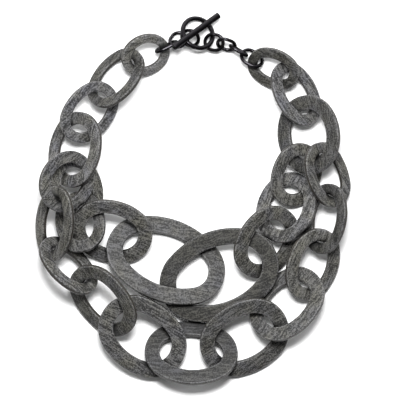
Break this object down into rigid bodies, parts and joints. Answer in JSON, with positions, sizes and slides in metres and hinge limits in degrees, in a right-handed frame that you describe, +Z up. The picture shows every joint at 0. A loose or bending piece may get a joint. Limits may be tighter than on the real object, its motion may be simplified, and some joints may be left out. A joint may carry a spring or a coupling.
{
  "type": "link necklace",
  "caption": "Short two-strand statement necklace of interlocked matte grey oval horn links, with a dark metal ring and bar clasp on fine chain, laid out flat.",
  "frame": {"origin": "middle of the laid out necklace's plan, on the surface that it lies on", "axes": "+X to the right and +Y towards the clasp, both seen from above; +Z up from the surface"},
  "size_m": [0.1975, 0.233, 0.0339],
  "materials": {
    "horn": "matte grey dyed horn with a brushed grain",
    "dark_metal": "polished black plated metal"
  },
  "bodies": {
    "root": {"left_link_1": "horn", "left_link_2": "horn", "left_link_3": "horn", "left_joint_link": "horn", "outer_link_1": "horn", "outer_link_2": "horn", "outer_link_3": "horn", "outer_link_4": "horn", "outer_link_5": "horn", "outer_link_6": "horn", "outer_link_7": "horn", "outer_link_8": "horn", "outer_link_9": "horn", "outer_link_10": "horn", "outer_link_11": "horn", "right_joint_link": "horn", "right_link_1": "horn", "right_link_2": "horn", "inner_link_1": "horn", "inner_link_2": "horn", "inner_link_3": "horn", "inner_link_4": "horn", "inner_link_5": "horn", "inner_link_6": "horn", "inner_link_7": "horn", "inner_link_8": "horn", "left_chain_1": "dark_metal", "left_chain_2": "dark_metal", "left_chain_3": "dark_metal", "right_chain_1": "dark_metal", "right_chain_2": "dark_metal", "right_chain_3": "dark_metal", "right_chain_4": "dark_metal", "toggle_ring": "dark_metal", "toggle_bar": "dark_metal"}
  },
  "joints": []
}
